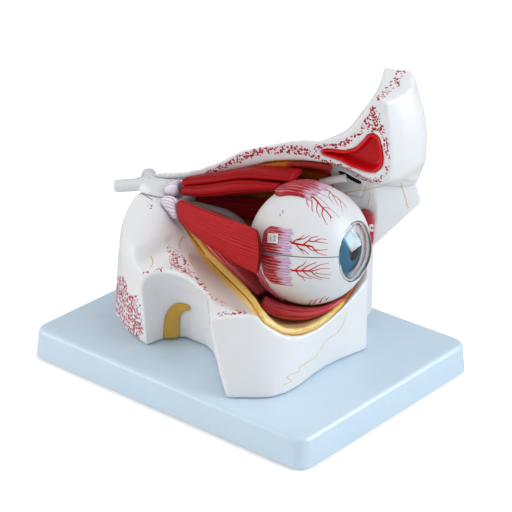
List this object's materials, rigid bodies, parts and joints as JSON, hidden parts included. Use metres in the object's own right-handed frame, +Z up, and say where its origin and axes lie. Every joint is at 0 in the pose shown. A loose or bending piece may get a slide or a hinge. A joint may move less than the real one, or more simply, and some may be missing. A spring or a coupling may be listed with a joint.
{
  "type": "eye anatomy model",
  "caption": "Enlarged eye in its bony orbit on a base plate: split eyeball with choroid, iris, lens and vitreous that lift apart, eye muscles and nerves.",
  "frame": {"origin": "middle of the base plate's length and width, at the level of the rubber feet's lower faces", "axes": "+X towards the front of the eye, +Y towards the nose, +Z up"},
  "size_m": [0.22, 0.164, 0.1863],
  "materials": {
    "base_blue": "light blue moulded plastic",
    "rubber": "matt",
    "screw_steel": "plain",
    "bone": "painted white, glossy",
    "sinus_red": "glossy",
    "lining_ochre": "glossy",
    "muscle_red": "glossy, striped",
    "tendon_lilac": "glossy",
    "nerve_white": "glossy",
    "nerve_grey": "glossy",
    "nerve_yellow": "glossy",
    "sclera_white": "glossy",
    "choroid_brown": "satin",
    "cornea_clear": "clear",
    "iris_blue": "satin",
    "lens_clear": "clear",
    "vitreous_clear": "clear",
    "gland_red": "glossy"
  },
  "bodies": {
    "stand": {"base_plate": "base_blue", "rubber_foot_1": "rubber", "rubber_foot_2": "rubber", "rubber_foot_3": "rubber", "rubber_foot_4": "rubber", "bone_screw_1": "screw_steel", "bone_screw_2": "screw_steel", "bone_screw_3": "screw_steel", "bone_screw_4": "screw_steel", "orbit_bone": "bone", "frontal_bone": "bone", "frontal_sinus_lining": "sinus_red", "periorbita_lining": "lining_ochre", "lateral_rectus": "muscle_red", "levator_palpebrae": "muscle_red", "superior_rectus": "muscle_red", "medial_rectus": "muscle_red", "inferior_rectus": "muscle_red", "inferior_oblique": "muscle_red", "superior_oblique": "muscle_red", "superior_oblique_tendon": "nerve_white", "tendon_ring_upper": "tendon_lilac", "tendon_ring_lower": "tendon_lilac", "optic_nerve": "nerve_grey", "optic_chiasm": "nerve_white", "maxillary_nerve": "nerve_yellow", "lacrimal_sac": "gland_red"},
    "eyeball": {"sclera_lower_half": "sclera_white", "sclera_pin_1": "screw_steel", "sclera_pin_2": "screw_steel", "cornea": "cornea_clear", "optic_nerve_stump": "nerve_grey", "lateral_insertion_lower": "muscle_red", "medial_insertion_lower": "muscle_red", "inferior_insertion": "muscle_red"},
    "sclera_top": {"sclera_upper_half": "sclera_white", "lateral_insertion_upper": "muscle_red", "medial_insertion_upper": "muscle_red", "superior_insertion": "muscle_red"},
    "choroid_top": {"choroid_upper_half": "choroid_brown"},
    "choroid_bottom": {"choroid_lower_half": "choroid_brown", "iris": "iris_blue"},
    "vitreous": {"vitreous_body": "vitreous_clear"},
    "lens": {"lens": "lens_clear"}
  },
  "joints": [
    {"name": "eyeball_pull", "type": "slide", "parent": "stand", "child": "eyeball", "axis": [0.8761, -0.2015, 0.438], "range_m": [0, 0.11]},
    {"name": "sclera_top_lift", "type": "slide", "parent": "eyeball", "child": "sclera_top", "axis": [-0.1176, 0.1773, 0.9771], "range_m": [0, 0.044]},
    {"name": "choroid_top_lift", "type": "slide", "parent": "eyeball", "child": "choroid_top", "axis": [-0.1176, 0.1773, 0.9771], "range_m": [0, 0.033]},
    {"name": "vitreous_lift", "type": "slide", "parent": "eyeball", "child": "vitreous", "axis": [-0.1176, 0.1773, 0.9771], "range_m": [0, 0.0198]},
    {"name": "choroid_bottom_lift", "type": "slide", "parent": "eyeball", "child": "choroid_bottom", "axis": [-0.1176, 0.1773, 0.9771], "range_m": [0, 0.0044]},
    {"name": "lens_out", "type": "slide", "parent": "vitreous", "child": "lens", "axis": [0.9873, 0.1265, 0.0958], "range_m": [0, 0.0011]}
  ],
  "couplings": [
    {"joint": "sclera_top_lift", "follows": "eyeball_pull", "ratio": 0.4},
    {"joint": "choroid_top_lift", "follows": "eyeball_pull", "ratio": 0.3},
    {"joint": "vitreous_lift", "follows": "eyeball_pull", "ratio": 0.18},
    {"joint": "choroid_bottom_lift", "follows": "eyeball_pull", "ratio": 0.04},
    {"joint": "lens_out", "follows": "eyeball_pull", "ratio": 0.01}
  ]
}
